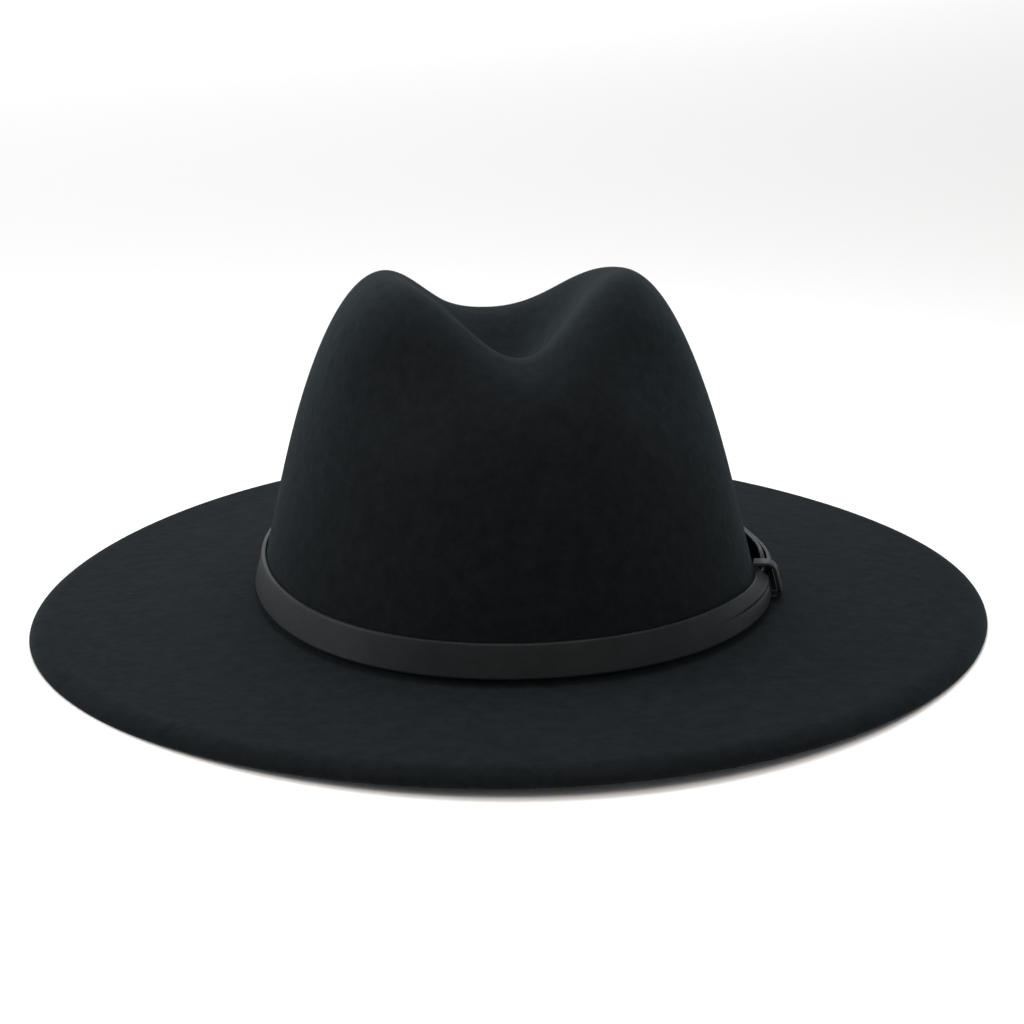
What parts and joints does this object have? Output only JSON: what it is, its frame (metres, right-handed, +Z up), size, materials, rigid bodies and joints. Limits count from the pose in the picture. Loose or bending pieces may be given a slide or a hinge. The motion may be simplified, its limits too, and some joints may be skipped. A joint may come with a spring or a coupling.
{
  "type": "fedora hat",
  "caption": "Wide-brimmed felt fedora with a dented, front-pinched crown, a rolled brim edge and a narrow strap band knotted at one side.",
  "frame": {"origin": "centre of the brim's footprint, on the surface that the hat rests on", "axes": "+Z up through the crown, -Y the way the wearer faces, +X towards the wearer's left, where the knot is"},
  "size_m": [0.3264, 0.3454, 0.1229],
  "materials": {
    "felt": "blue-black wool felt, matt with a faint sheen at grazing angles",
    "strap": "dark grey matt strap with a fine grain"
  },
  "bodies": {
    "root": {"felt_body": "felt", "hat_band": "strap", "band_keeper": "strap", "band_tail": "strap"}
  },
  "joints": []
}
